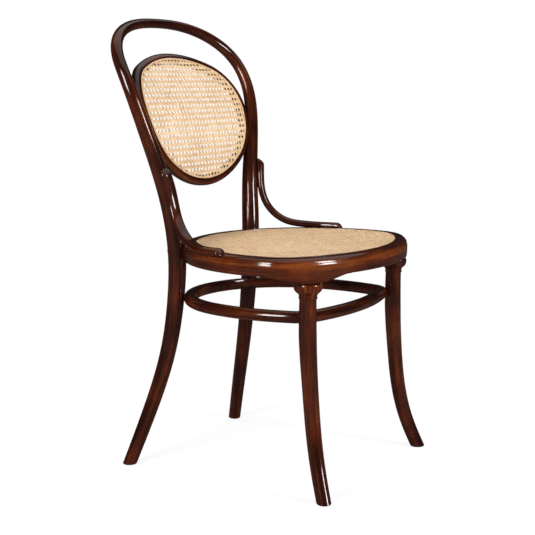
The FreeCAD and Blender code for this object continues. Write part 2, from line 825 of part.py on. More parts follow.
# panel_ring_screws: from inside the ring into the posts, where the two touch
def ring_to_post(distance):
    """From a point of the ring to the post's centre at the same height."""
    spot = panel_spot(distance, 0)
    return rod_axis(spot.z)[0] - spot


touching = min((panel_length * k / 40 for k in range(12, 30)),
               key=lambda s: ring_to_post(s).Length)
ring_way = ring_to_post(touching).normalize()
ring_screws = screw_pair("panel_ring_screws", panel_spot(touching, 0) - ring_way * (ring_in - 0.6),
                         ring_way, "ring_screw_length")
doc.recompute()

# The wood is cut to suit its neighbours, then every sub-part is kept.
screw_solids = Part.makeCompound([s.Shape for s in hoop_screws + brace_screws + ring_screws])
bolt_tools = Part.makeCompound(bolt_holes)
legs = Part.makeCompound([right_leg, mirrored(right_leg)])


def largest(shape):
    """The main solid that a cut leaves."""
    return max(shape.Solids, key=lambda solid: solid.Volume)


seat_rim = largest(seat_rim.cut(back_loop).cut(bolt_tools).cut(screw_solids))
stretcher_hoop = largest(stretcher_hoop.cut(back_loop).cut(legs).cut(screw_solids))
back_panel_ring = largest(back_panel_ring.cut(back_loop).cut(screw_solids))
under_top = Part.makeBox(800, 800, 100, Vector(-400, -400, seat_top - 100))
right_brace = brace_shape().cut(under_top).cut(back_loop).cut(seat_spline).cut(screw_solids)
right_brace = largest(right_brace)
back_loop = largest(back_loop.cut(bolt_tools).cut(screw_solids))
right_leg = largest(right_leg.cut(screw_solids))
seat_cane = largest(seat_cane)

keep("back_loop", back_loop)
keep("seat_rim", seat_rim)
keep("right_leg_block", right_block)
keep("left_leg_block", mirrored(right_block))
keep("right_front_leg", right_leg)
keep("left_front_leg", mirrored(right_leg))
keep("stretcher_hoop", stretcher_hoop)
keep("right_brace", right_brace)
keep("left_brace", mirrored(right_brace))
keep("back_panel_ring", back_panel_ring)
keep("back_cane", back_cane)
keep("back_cane_spline", back_cane_spline)
keep("seat_cane", seat_cane)
keep("seat_cane_spline", seat_spline)

doc.recompute()
for feature in doc.Objects:
    if "Invalid" in feature.State or "Error" in feature.State:
        raise RuntimeError("object %s has failed" % feature.Label)
for feature in parts:
    box = feature.Shape.optimalBoundingBox(False)
    print("%s: %d solid(s), %.0f mm3, x %.1f to %.1f, y %.1f to %.1f, z %.1f to %.1f" % (
        feature.Label, len(feature.Shape.Solids), feature.Shape.Volume,
        box.XMin, box.XMax, box.YMin, box.YMax, box.ZMin, box.ZMax))
    bad_state = [word for word in feature.State if word in ("Invalid", "Error")]
    if bad_state or feature.Shape.isNull() or not feature.Shape.isValid():
        raise RuntimeError("sub-part %s is not sound" % feature.Label)

os.makedirs("parts", exist_ok=True)
for feature in parts:
    feature.Shape.exportStep("parts/%s.step" % feature.Label)
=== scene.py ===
import math

import bpy
import numpy as np
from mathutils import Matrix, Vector


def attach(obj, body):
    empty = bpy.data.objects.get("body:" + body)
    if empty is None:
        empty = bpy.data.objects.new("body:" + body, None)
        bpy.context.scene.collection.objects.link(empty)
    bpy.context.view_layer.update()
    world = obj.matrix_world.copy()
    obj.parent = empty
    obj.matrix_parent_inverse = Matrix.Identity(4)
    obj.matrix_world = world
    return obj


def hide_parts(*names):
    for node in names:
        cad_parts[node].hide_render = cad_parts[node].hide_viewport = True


# A bentwood bistro chair with a cane seat and a cane back panel.
# Sizes are in millimetres up to the point where a mesh is made.
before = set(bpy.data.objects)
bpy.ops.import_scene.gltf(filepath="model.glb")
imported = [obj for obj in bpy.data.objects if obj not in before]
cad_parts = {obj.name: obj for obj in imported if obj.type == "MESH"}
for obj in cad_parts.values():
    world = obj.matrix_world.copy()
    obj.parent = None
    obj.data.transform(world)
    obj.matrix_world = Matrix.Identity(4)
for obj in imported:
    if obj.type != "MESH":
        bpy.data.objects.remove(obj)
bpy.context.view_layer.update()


# The back loop
# One beech rod, steamed and bent into both back legs and the arch above them.
# It is thickest where the seat is bolted on and slim at the crown.
def steady(*values):
    """A row of numbers as floats."""
    return np.array(values, float)


def smooth_line(knots, count):
    """Points at even steps along a curve through the knots.

    Between neighbours the curve is a cubic of the distance travelled, and
    neighbouring cubics share their slope and their bend.
    """
    knots = np.array(knots, float)
    gaps = np.linalg.norm(np.diff(knots, axis=0), axis=1)
    marks = np.concatenate([[0.0], np.cumsum(gaps)])
    total = len(marks)
    links = np.eye(total)
    pull = np.zeros((total, 3))
    inner = np.arange(1, total - 1)
    links[inner, inner - 1] = gaps[:-1]
    links[inner, inner] = 2 * (gaps[:-1] + gaps[1:])
    links[inner, inner + 1] = gaps[1:]
    slopes = np.diff(knots, axis=0) / gaps[:, None]
    pull[1:-1] = 6 * np.diff(slopes, axis=0)
    bends = np.linalg.solve(links, pull)
    travel = np.linspace(0, marks[-1], 40 * total)
    piece = np.clip(np.searchsorted(marks, travel, side="right") - 1, 0, total - 2)
    gap = gaps[piece][:, None]
    after = (travel - marks[piece])[:, None]
    before = gap - after
    line = (bends[piece] * before ** 3 + bends[piece + 1] * after ** 3) / (6 * gap)
    line += (knots[piece] / gap - bends[piece] * gap / 6) * before
    line += (knots[piece + 1] / gap - bends[piece + 1] * gap / 6) * after
    steps = np.concatenate([[0.0], np.cumsum(np.linalg.norm(np.diff(line, axis=0), axis=1))])
    even = np.linspace(0, steps[-1], count)
    return np.stack([np.interp(even, steps, line[:, axis]) for axis in range(3)], axis=1)


def unit(vectors):
    """Each vector over its own length."""
    return vectors / np.linalg.norm(vectors, axis=-1, keepdims=True)


def directions(line, marker):
    """Along, side and up at each point: up is the marker's part square to the line."""
    along = unit(np.gradient(line, axis=0))
    marker = np.broadcast_to(marker, line.shape)
    up = unit(marker - along * np.sum(along * marker, axis=1, keepdims=True))
    return along, np.cross(along, up), up


def travelled(line):
    """The distance from the start of a line to each of its points."""
    return np.concatenate([[0.0], np.cumsum(np.linalg.norm(np.diff(line, axis=0), axis=1))])


def skin(rows, columns, ring, first=0):
    """Quads of a grid whose columns close on themselves, and whose rows may too."""
    row = np.arange(rows if ring else rows - 1)[:, None]
    column = np.arange(columns)[None, :]
    here, there = row * columns, (row + 1) % rows * columns
    beside = (column + 1) % columns
    quads = np.stack([here + column, here + beside, there + beside, there + column], axis=-1)
    return quads.reshape(-1, 4) + first


def placed_piece(name, points, quads, ends, grain, tone_wear_and_painted_sheen, crease, finish, source):
    """One closed mesh with its grain, and its tone, wear and painted sheen, stored on it, riding
    the chair's body.

    The grain is the place of each point in the straight stuff before it was bent:
    the distance along it, then the two distances across it.
    """
    mesh = bpy.data.meshes.new(name)
    mesh.from_pydata((points * 0.001).tolist(), [], quads.tolist() + ends)
    if enclosed(points, quads) < 0:
        mesh.flip_normals()
    mesh.shade_smooth()
    mesh.set_sharp_from_angle(angle=math.radians(crease))
    mesh.attributes.new("grain", "FLOAT_VECTOR", "POINT").data.foreach_set(
        "vector", (grain * 0.001).astype(np.float32).ravel())
    mesh.attributes.new("tone_wear_and_painted_sheen", "FLOAT", "POINT").data.foreach_set(
        "value", tone_wear_and_painted_sheen.astype(np.float32))
    mesh.materials.append(finish)
    piece = bpy.data.objects.new(name, mesh)
    bpy.context.collection.objects.link(piece)
    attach(piece, "root")
    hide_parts(source)


def bent_piece(name, grid, grain, source, ring=False, tone_wear_and_painted_sheen=0.0, crease=40.0,
               finish=None):
    """A closed piece from a grid of sections, shellacked unless a finish is given."""
    rows, columns = grid.shape[:2]
    points = grid.reshape(-1, 3)
    grain = np.asarray(grain, float).reshape(-1, 3)
    tone_wear_and_painted_sheen = np.broadcast_to(tone_wear_and_painted_sheen, (rows, columns)).ravel()
    ends = []
    if not ring:
        last = (rows - 1) * columns
        ends = [list(range(columns))[::-1], list(range(last, last + columns))]
    placed_piece(name, points, skin(rows, columns, ring), ends, grain, tone_wear_and_painted_sheen, crease,
                 finish or shellac, source)


def enclosed(points, quads):
    """Six times the volume inside the quads: each corner triple's product, summed."""
    a, b, c, d = (points[quads[:, k]] for k in range(4))
    return np.sum(np.cross(a, b) * c) + np.sum(np.cross(a, c) * d)


def node(tree, kind, place, **settings):
    """A new shader node, with its settings given by name."""
    made = tree.nodes.new(kind)
    made.location = (place[0] * 180, place[1] * 180)
    for key, value in settings.items():
        setattr(made, key, value)
    return made


def sockets(made, **values):
    """Sets a node's unlinked inputs by name, with _ for a space."""
    for key, value in values.items():
        made.inputs[key.replace("_", " ")].default_value = value
    return made


def shades(tree, place, stops):
    """A colour ramp from (place along it, colour) pairs."""
    ramp = node(tree, "ShaderNodeValToRGB", place)
    band = ramp.color_ramp
    while len(band.elements) < len(stops):
        band.elements.new(0.5)
    for element, (where, colour) in zip(band.elements, stops):
        element.position = where
        element.color = (*colour, 1.0)
    return ramp


def grain_noise(tree, source, place, stretch, detail, rough, shift=(0, 0, 0)):
    """Noise read in the grain's own place, stretched along it."""
    turned = node(tree, "ShaderNodeMapping", place)
    sockets(turned, Scale=stretch, Location=shift)
    noise = node(tree, "ShaderNodeTexNoise", (place[0] + 1, place[1]))
    sockets(noise, Scale=1.0, Detail=detail, Roughness=rough)
    tree.links.new(source, turned.inputs["Vector"])
    tree.links.new(turned.outputs["Vector"], noise.inputs["Vector"])
    return noise.outputs["Fac"]


def darkened(tree, place, amount, colour, shade):
    """A colour multiplied by a shade, by a part of the full amount."""
    mix = node(tree, "ShaderNodeMix", place, data_type="RGBA", blend_type="MULTIPLY")
    factor, first, second = mix.inputs[0], mix.inputs[6], mix.inputs[7]
    factor.default_value = amount
    tree.links.new(colour, first)
    tree.links.new(shade, second)
    return mix.outputs[2]


def weighed_sum(tree, place, value, weight, added):
    """Value x weight + added."""
    total = node(tree, "ShaderNodeMath", place, operation="MULTIPLY_ADD")
    tree.links.new(value, total.inputs[0])
    total.inputs[1].default_value = weight
    tree.links.new(added, total.inputs[2])
    return total.outputs[0]


def stored(tree, place, name):
    """Reads what a mesh stores at its points under a name."""
    return node(tree, "ShaderNodeAttribute", place, attribute_name=name)


def new_finish(name):
    """A material and its node tree, still empty."""
    finish = bpy.data.materials.new(name)
    finish.use_nodes = True
    finish.node_tree.nodes.clear()
    return finish, finish.node_tree


def seen_surface(tree, place, shader):
    """Makes a shader the surface of the material."""
    sheet = node(tree, "ShaderNodeOutputMaterial", place)
    tree.links.new(shader, sheet.inputs["Surface"])


def shellac_finish():
    """Beech stained dark mahogany under many thin coats of shellac, rubbed to a gloss."""
    finish, tree = new_finish("stained_beech_under_shellac")
    grain = stored(tree, (-8, 0), "grain").outputs["Vector"]
    place = node(tree, "ShaderNodeTexCoord", (-8, -3)).outputs["Object"]
    tone_wear_and_painted_sheen = stored(tree, (-8, 3), "tone_wear_and_painted_sheen").outputs["Fac"]
    streaks = grain_noise(tree, grain, (-7, 2), (7, 130, 130), 5.0, 0.6)
    fibres = grain_noise(tree, grain, (-7, 0), (22, 900, 900), 3.0, 0.6)
    flecks = grain_noise(tree, grain, (-7, -1), (170, 1100, 1100), 1.0, 0.4, (3, 1, 2))
    patches = grain_noise(tree, place, (-7, -3), (9, 9, 9), 3.0, 0.55)
    ripple = grain_noise(tree, grain, (-7, -4), (28, 120, 120), 1.5, 0.5, (5, 2, 7))

    # Cloudy patches move the streaks towards light or dark, and the stored wear and painted sheen
    # make the wood lighter.
    patch_weight, wear_and_sheen_weight = 0.9, 0.26
    tone = weighed_sum(tree, (-5, 2), patches, patch_weight, streaks)
    tone = weighed_sum(tree, (-4, 2), tone_wear_and_painted_sheen, wear_and_sheen_weight, tone)
    stain = shades(tree, (-3, 2), [
        (0.18, (0.0075, 0.0014, 0.0006)),
        (0.42, (0.0280, 0.0042, 0.0012)),
        (0.64, (0.0640, 0.0108, 0.0020)),
        (0.96, (0.1800, 0.0440, 0.0070))])
    spread = node(tree, "ShaderNodeMapRange", (-3.6, 1))
    sockets(spread, From_Min=0.5, From_Max=1.45)
    tree.links.new(tone, spread.inputs["Value"])
    tree.links.new(spread.outputs["Result"], stain.inputs["Fac"])
    fibre_tone = shades(tree, (-4, 0), [(0.35, (0.62, 0.56, 0.52)), (0.65, (1.0, 1.0, 1.0))])
    tree.links.new(fibres, fibre_tone.inputs["Fac"])
    fleck_tone = shades(tree, (-4, -1), [(0.36, (0.45, 0.36, 0.32)), (0.44, (1.0, 1.0, 1.0))])
    tree.links.new(flecks, fleck_tone.inputs["Fac"])
    fibre_depth, fleck_depth = 0.85, 0.6
    colour = darkened(tree, (-2, 1), fibre_depth, stain.outputs["Color"],
                      fibre_tone.outputs["Color"])
    colour = darkened(tree, (-1, 1), fleck_depth, colour, fleck_tone.outputs["Color"])

    grain_bump = node(tree, "ShaderNodeBump", (-2, -1))
    sockets(grain_bump, Strength=0.25, Distance=0.0002)
    tree.links.new(fibres, grain_bump.inputs["Height"])
    coat_bump = node(tree, "ShaderNodeBump", (-2, -3))
    sockets(coat_bump, Strength=0.35, Distance=0.0006)
    tree.links.new(ripple, coat_bump.inputs["Height"])
    body = node(tree, "ShaderNodeBsdfPrincipled", (0, 0))
    sockets(body, Roughness=0.6, IOR=1.45, Specular_IOR_Level=0.02, Coat_Weight=0.9,
            Coat_IOR=1.5, Coat_Roughness=0.12)
    tree.links.new(colour, body.inputs["Base Color"])
    tree.links.new(grain_bump.outputs["Normal"], body.inputs["Normal"])
    tree.links.new(coat_bump.outputs["Normal"], body.inputs["Coat Normal"])
    seen_surface(tree, (2, 0), body.outputs["BSDF"])
    return finish


shellac = shellac_finish()


def round_rod(line, radii, marker, around=40):
    """A round section carried along a line, and the grain of the straight rod.

    Point = centre + radius x (side x cosine + up x sine) of the angle round it.
    """
    along, side, up = directions(line, marker)
    angle = np.linspace(0, 2 * math.pi, around, endpoint=False)
    reach = radii[:, None, None]
    grid = line[:, None] + reach * (side[:, None] * np.cos(angle)[:, None]
                                    + up[:, None] * np.sin(angle)[:, None])
    grain = np.stack(np.broadcast_arrays(travelled(line)[:, None], radii[:, None] * np.cos(angle),
                                         radii[:, None] * np.sin(angle)), axis=-1)
    return grid, grain


foot_chamfer = 1.6
foot_reach = 26.0


def level_foot(grid, line):
    """Slides the first sections along the rod until its end is level with the floor.

    Each line of the skin is moved by its height over the slope, less and less up the
    rod as far as the foot reaches. A chamfered edge and a level end are added under it.
    """
    down = unit(line[0] - line[3])
    distance = travelled(line)[:, None]
    slide = (grid[0, :, 2] - foot_chamfer) / -down[2]
    weight = np.clip(1 - distance / foot_reach, 0, 1)
    grid = grid + down * (slide * weight)[..., None]
    centre = grid[0].mean(axis=0)
    spread = grid[0] - centre
    slim = 1 - foot_chamfer / np.linalg.norm(spread, axis=1, keepdims=True)
    edge = centre + spread * slim
    edge[:, 2] = 0.0
    on_floor = centre * (1, 1, 0)
    heart = on_floor + (edge - on_floor) * 0.5
    return np.concatenate([heart[None], edge[None], grid])


# Knots of the right half of the rod as (side, back, height), from its foot to where
# the arch starts.
rod_knots = np.array([
    (192.7, 199.9, 0.0), (165.0, 169.3, 105.0), (142.7, 140.5, 220.0), (134.8, 126.0, 323.0),
    (136.8, 122.5, 440.0), (154.0, 134.4, 540.0), (185.0, 149.5, 635.0), (208.7, 182.8, 750.0)])
crown_back, crown_height = 256.3, 854.9
shoulder_side, shoulder_back, shoulder_height = rod_knots[-1]
rise = crown_height - shoulder_height
# The arch is a superellipse of this power, seen from the front. It starts with a
# backward lean, and bends further back with the square of the height.
lean = 0.5
arch_power = 2 / 2.38
turn = np.radians((18, 36, 54, 72))
up = rise * np.sin(turn) ** arch_power
bend = (crown_back - shoulder_back - lean * rise) / rise ** 2
arch = np.stack([shoulder_side * np.cos(turn) ** arch_power,
                 shoulder_back + lean * up + bend * up ** 2, shoulder_height + up], axis=1)
half = np.concatenate([rod_knots, arch])
other_half = (half * (-1, 1, 1))[::-1]
crown = 300
loop_line = smooth_line(np.concatenate([half, [(0, crown_back, crown_height)], other_half]),
                        2 * crown + 1)
share = travelled(loop_line) / travelled(loop_line)[-1]
from_foot = 2 * np.minimum(share, 1 - share)
loop_radii = np.interp(from_foot, (0.0, 0.215, 0.44, 0.70, 1.0), (12.8, 15.0, 18.1, 12.4, 9.1))
# A running mean over 20 places to each side eases the swelling of the rod.
ease_places = 20
ease = np.hanning(2 * ease_places + 1)
padded = np.pad(loop_radii, ease_places, mode="reflect", reflect_type="odd")
loop_radii = np.convolve(padded, ease / ease.sum(), mode="valid")
loop_grid, loop_grain = round_rod(loop_line, loop_radii, steady(0, 1, 0))
right_foot = level_foot(loop_grid[:crown], loop_line[:crown])
left_foot = level_foot(loop_grid[:crown:-1], loop_line[:crown:-1])
loop_grid = np.concatenate([right_foot, loop_grid[crown:crown + 1], left_foot[::-1]])
loop_grain = np.concatenate([loop_grain[:1], loop_grain[:1], loop_grain,
                             loop_grain[-1:], loop_grain[-1:]])
bent_piece("bent_back_loop", loop_grid, loop_grain, "back_loop")


# The front legs
# Turned beech, bent outwards at the foot. A bell-shaped capital and a thin bead top
# each leg, and a spigot above them goes up through the glued block into the rim.
# Knots of the right leg as (side, back, height), from its foot to its capital.
leg_knots = np.array([
    (204.3, -237.5, 0.0), (190.2, -216.8, 60.0), (181.6, -202.7, 125.0), (178.6, -194.4, 200.0),
    (178.2, -188.8, 290.0), (178.2, -188.8, 367.0)])
shaft_top = 360.0
around_leg = 48
leg_line = smooth_line(leg_knots, 160)
leg_line = leg_line[leg_line[:, 2] <= shaft_top]
leg_share = travelled(leg_line) / travelled(leg_line)[-1]
leg_radii = np.interp(leg_share, (0, 0.30, 0.55, 0.82, 1), (13.2, 14.0, 14.6, 16.2, 15.4))
leg_axis = steady(178.2, -188.8, 0)
# Radius and height up the turned top: shaft, bead, neck, bell, rounded lip, spigot.
turning = np.array([
    (15.4, 360.6), (15.5, 361.2), (16.3, 361.5), (16.9, 362.6), (16.9, 363.8), (16.2, 364.9),
    (16.3, 366.0), (16.6, 368.0), (17.4, 370.0), (19.2, 371.7), (21.6, 373.6), (23.6, 375.8),
    (25.0, 378.2), (25.7, 380.8), (25.9, 383.4), (25.9, 386.4), (25.7, 388.0), (25.0, 389.2),
    (11.0, 389.2), (11.0, 421.2), (10.0, 422.2), (2.0, 422.2)])
shaft, shaft_grain = round_rod(leg_line, leg_radii, steady(0, 1, 0), around_leg)
shaft = level_foot(shaft, leg_line)
along, side_way, up_way = directions(leg_line, steady(0, 1, 0))
angle = np.linspace(0, 2 * math.pi, around_leg, endpoint=False)
rings = leg_axis + turning[:, 0, None, None] * (
    side_way[-1] * (1, 1, 0) * np.cos(angle)[:, None]
    + up_way[-1] * (1, 1, 0) * np.sin(angle)[:, None])
rings[..., 2] += turning[:, 1, None]
top_grain = np.stack(np.broadcast_arrays(
    turning[:, 1, None], turning[:, 0, None] * np.cos(angle),
    turning[:, 0, None] * np.sin(angle)), axis=-1)
leg_grid = np.concatenate([shaft, rings])
leg_grain = np.concatenate([shaft_grain[:1], shaft_grain[:1], shaft_grain, top_grain])
for hand, mirrored in (("right", 1.0), ("left", -1.0)):
    # Each leg is turned from its own billet, so its grain is moved to another place.
    own_grain = leg_grain + steady(900 * mirrored, 60, 30 * mirrored)
    bent_piece(hand + "_turned_front_leg", leg_grid * (mirrored, 1, 1), own_grain,
               hand + "_front_leg", crease=32)


# The seat rim and its leg blocks
# A bent ring with a rounded outer face. Over each front leg a glued block swells
# out of its underside and is worked flush with it, deepest at the leg.
class Outline:
    """A symmetric closed outline of tangent arcs from its front point to its back point."""

    def __init__(self, front, arcs):
        heading, x, y = 0.0, 0.0, -front
        self.arcs = []
        for radius, swing in arcs:
            centre = (x - radius * math.sin(heading), y + radius * math.cos(heading))
            after = heading + math.radians(swing)
            self.arcs.append((centre, radius, heading, after))
            heading = after
            x = centre[0] + radius * math.sin(heading)
            y = centre[1] - radius * math.cos(heading)
        radius = x / math.sin(heading)
        self.arcs.append(((0.0, y + radius * math.cos(heading)), radius, heading, math.pi))
        self.half = sum(arc[1] * (arc[3] - arc[2]) for arc in self.arcs)

    def along(self, distance):
        """Points and outward directions at distances from the front, either way round."""
        distance = np.asarray(distance, float)
        wrapped = (distance + self.half) % (2 * self.half) - self.half
        hand = np.where(wrapped < 0, -1.0, 1.0)
        left = np.abs(wrapped)
        spot = np.zeros(distance.shape + (2,))
        way = np.zeros(distance.shape + (2,))
        start = 0.0
        for (cx, cy), radius, first, last in self.arcs:
            length = radius * (last - first)
            inside = left >= start - 1e-9
            angle = first + (left - start) / radius
            reach = np.stack([np.sin(angle), -np.cos(angle)], axis=-1)
            spot = np.where(inside[..., None], steady(cx, cy) + radius * reach, spot)
            way = np.where(inside[..., None], reach, way)
            start += length
        hand = np.stack([hand, np.ones_like(hand)], axis=-1)
        return spot * hand, way * hand

    def nearest(self, x, y):
        """The distance along the right half that lies nearest a place."""
        steps = np.linspace(0, self.half, 4001)
        spots = self.along(steps)[0]
        return steps[np.argmin(np.hypot(spots[:, 0] - x, spots[:, 1] - y))]


def flat_ring(outline, across, heights, count):
    """A section of (outward, height) points carried round a flat outline.

    The section may change from place to place: its arrays are (places, points).
    """
    distance = np.linspace(-outline.half, outline.half, count, endpoint=False)
    spot, way = outline.along(distance)
    across = np.broadcast_to(across, (count, np.shape(across)[-1]))
    heights = np.broadcast_to(heights, across.shape)
    plan = spot[:, None] + way[:, None] * across[..., None]
    grid = np.concatenate([plan, heights[..., None]], axis=-1)
    grain = np.stack(np.broadcast_arrays(distance[:, None], across, heights), axis=-1)
    return grid, grain


def angle_steps(count, start=0.0, stop=90.0):
    """Even steps of an angle given in degrees."""
    return np.radians(np.linspace(start, stop, count))


seat_top = 436.4
rim_height, rim_in = 32.7, 20.0
seat_line = Outline(245.3, [(326, 36), (75.3, 46.3), (237.2, 33.5)])
cane_thickness, groove_wide, groove_deep = 1.6, 4.5, 5.0
rim_places = 720
# The outer face, as how far out and how far down: the worn shoulder, then the bulge.
shoulder = angle_steps(14)
shoulder_start, shoulder_wide, shoulder_tall = 8.0, 11.2, 9.6
face_out = np.concatenate([shoulder_start + shoulder_wide * np.sin(shoulder),
                           [19.75, 20.05, 20.1, 20.05]])
face_down = np.concatenate([shoulder_tall * (1 - np.cos(shoulder)), [11.6, 14.0, 17.0, 21.0]])
# Below the bulge the wall draws in with the square of the way down, then a round
# corner leads to the underside.
wall_start, wall_tall, wall_out_at_start, wall_draws_in = 21.0, 11.7, 20.05, 0.9
corner = 3.6
block_middle = seat_line.nearest(leg_axis[0], leg_axis[1])
block_reach, block_deep = 80.0, 14.5


def block_depth(distance):
    """How far the block reaches below the rim: a cosine arch to the power 1.7."""
    away = np.minimum(np.abs(np.abs(distance) - block_middle), block_reach) / block_reach
    return block_deep * np.cos(math.pi / 2 * away) ** 1.7


def each(row):
    """The same row of the section at every place round the rim."""
    return np.broadcast_to(row, (rim_places, len(row)))


rim_distance = np.linspace(-seat_line.half, seat_line.half, rim_places, endpoint=False)
deep = block_depth(rim_distance)[:, None]
wall_end = np.minimum(rim_height - corner + deep, rim_height)
wall_down = wall_start + (wall_end - wall_start) * np.linspace(0, 1, 6)[None]
wall_out = wall_out_at_start - wall_draws_in * ((wall_down - wall_start) / wall_tall) ** 2
# Over a block the corner is cut short where it meets the block's flat top.
closing = np.arcsin(np.clip(1 - deep / corner, 0, 1))
bow = closing * np.linspace(0, 1, 8)[None]
corner_out = wall_out[:, -1:] - corner * (1 - np.cos(bow))
corner_down = wall_end + corner * np.sin(bow)
under_out = np.array([-rim_in + 3, -rim_in + 0.9, -rim_in, -rim_in, -rim_in])
under_down = np.array([rim_height, rim_height - 0.9, rim_height - 3, 20.0, cane_thickness])
bed_out = np.array([-groove_wide, -groove_wide, 0.0, 0.0, 0.5, shoulder_start])
bed_down = np.array([cane_thickness, groove_deep, groove_deep, 0.5, 0.0, 0.0])
rim_across = np.concatenate([each(face_out[1:]), wall_out[:, 1:], corner_out[:, 1:],
                             each(under_out), each(bed_out)], axis=1)
rim_falls = np.concatenate([each(face_down[1:]), wall_down[:, 1:], corner_down[:, 1:],
                            each(under_down), each(bed_down)], axis=1)
rim_grid, rim_grain = flat_ring(seat_line, rim_across, seat_top - rim_falls, rim_places)
# The bulge is painted lighter: stain rubbed thin there, and a painted sheen where the lamps'
# highlights fall on it.
bulge_down, bulge_tall = 12.0, 9.0
rim_wear_and_painted_sheen = np.exp(-((rim_falls - bulge_down) / bulge_tall) ** 2) * (rim_across > 10)
bent_piece("bent_seat_rim", rim_grid, rim_grain, "seat_rim", ring=True, tone_wear_and_painted_sheen=rim_wear_and_painted_sheen, crease=30)

# The block's section, from its outer wall down, round and along to its inner face. It
# starts a little inside the tips of the arch, where it would have no thickness.
block_places = 141
spare_tip = 1.5
deepest_tuck = 2.6
distance = block_middle + np.linspace(-block_reach + spare_tip, block_reach - spare_tip,
                                      block_places)
deep = block_depth(distance)[:, None]
wall_end = np.maximum(rim_height - corner + deep, rim_height)
wall_down = rim_height + (wall_end - rim_height) * np.linspace(0, 1, 7)[None]
tuck = deepest_tuck * np.clip((wall_down - rim_height) / block_deep, 0, 1) ** 1.5
wall_out = (wall_out_at_start - wall_draws_in * ((rim_height - wall_start) / wall_tall) ** 2
            - tuck)
start_bow = np.arcsin(np.clip(1 - deep / corner, 0, 1))
bow = start_bow + (math.pi / 2 - start_bow) * np.linspace(0, 1, 8)[None]
corner_out = wall_out[:, -1:] - corner * (1 - np.cos(bow))
corner_down = rim_height + deep - corner + corner * np.sin(bow)
# The inner face stands in from the rim's, less so where the block is shallow, and its
# lower edge is rounded by 0.4 of the depth, up to 5 mm.
inner_stand, inner_slant = 8, 6
inner_face = -rim_in - inner_stand + inner_slant * (1 - deep / block_deep)
inner_corner = np.minimum(deep * 0.4, 5.0)
inner_steps = np.linspace(0, 1, 5)
inner_round = inner_corner * inner_steps[::-1][None]
inner_out = inner_face + inner_round
inner_down = rim_height + deep - (inner_corner - inner_round) * inner_steps[None]
block_across = np.concatenate([wall_out, corner_out[:, 1:], inner_out, inner_face], axis=1)
block_falls = np.concatenate([wall_down, corner_down[:, 1:], inner_down,
                              np.full_like(deep, rim_height)], axis=1)
spot, way = seat_line.along(distance)
plan = spot[:, None] + way[:, None] * block_across[..., None]
block_grid = np.concatenate([plan, (seat_top - block_falls)[..., None]], axis=-1)
for hand, mirrored in (("right", 1.0), ("left", -1.0)):
    block_grain = np.stack(np.broadcast_arrays(mirrored * distance[:, None], block_across,
                                               seat_top - block_falls), axis=-1)
    bent_piece(hand + "_worked_leg_block", block_grid * (mirrored, 1, 1), block_grain,
               hand + "_leg_block", crease=30)


# The stretcher hoop
# A bent ring, flat on its inside and rounded on its outside, screwed to all four legs.
hoop_line = Outline(203.1, [(480, 17.2), (43, 55), (303, 31.4)])
hoop_level, half_tall, half_wide = 323.0, 10.5, 10.0
# The outer face is half an ellipse that stands 9 mm out, and the inner edges are eased.
sweep = angle_steps(25, -90, 90)
nose = 9.0
hoop_out = np.concatenate([half_wide - nose + nose * np.cos(sweep),
                           [-half_wide + 2, -half_wide + 0.6, -half_wide,
                            -half_wide, -half_wide + 0.6, -half_wide + 2]])
hoop_up = np.concatenate([half_tall * np.sin(sweep),
                          [half_tall, half_tall - 0.6, half_tall - 2,
                           -half_tall + 2, -half_tall + 0.6, -half_tall]])
hoop_grid, hoop_grain = flat_ring(hoop_line, hoop_out, hoop_level + hoop_up, 560)
hoop_grain = hoop_grain + steady(400, 300, -200)
bent_piece("bent_stretcher_hoop", hoop_grid, hoop_grain, "stretcher_hoop", ring=True)


# The braces
# Two short bent bars of a rounded oblong section that tie the posts to the rim. Both
# ends are cut on a slope, and their edges are worn round.
brace_knots = np.array([
    (171.3, 118.6, 566.4), (164.8, 114.6, 541.7), (162.4, 107.8, 506.3), (167.6, 95.4, 478.3),
    (184.9, 62.9, 450.0), (204.3, 35.2, 442.8), (219.5, 13.4, 440.4), (230.5, -32.5, 439.6)])
brace_half_wide, brace_half_tall = 11.0, 6.9
brace_line = smooth_line(brace_knots, 150)
brace_share = travelled(brace_line) / travelled(brace_line)[-1]
# The face of each bar looks forwards off the post, and turns upwards on the rim.
lift_way = np.outer(1 - brace_share, (0.25, -0.75, 0.15)) + np.outer(brace_share, (0.15, 0, 1))
# How far each end is drawn out at its underside, and the steps that round its edge:
# how much of the section is left, and how far along the cap that is.
top_slope, seat_slope = 10.0, 9.0
rounding = ((1.0, 0.0), (0.96, 0.3), (0.88, 0.52), (0.74, 0.74), (0.54, 0.9), (0.3, 0.98),
            (0.1, 1.0))
cap_long = 5.0
slope_start = 0.56


def rounded(angle, power):
    """A superellipse: cosine and sine, each drawn out towards a square by the power."""
    across = np.sign(np.cos(angle)) * np.abs(np.cos(angle)) ** (2 / power)
    tall = np.sign(np.sin(angle)) * np.abs(np.sin(angle)) ** (2 / power)
    return across, tall


def sloped_end(here, along, side, up, slope):
    """The rings that close a bar with a sloping cut whose edge is a little rounded.

    Reach = slope x (its start - half the place across the thickness) + the cap's push.
    """
    rings = []
    for shrink, push in rounding:
        reach = (slope * (slope_start - 0.5 * shrink * brace_tall / brace_half_tall)
                 + cap_long * push)
        rings.append(here + side * (shrink * brace_wide)[:, None]
                     + up * (shrink * brace_tall)[:, None] + along * reach[:, None])
    return np.array(rings)


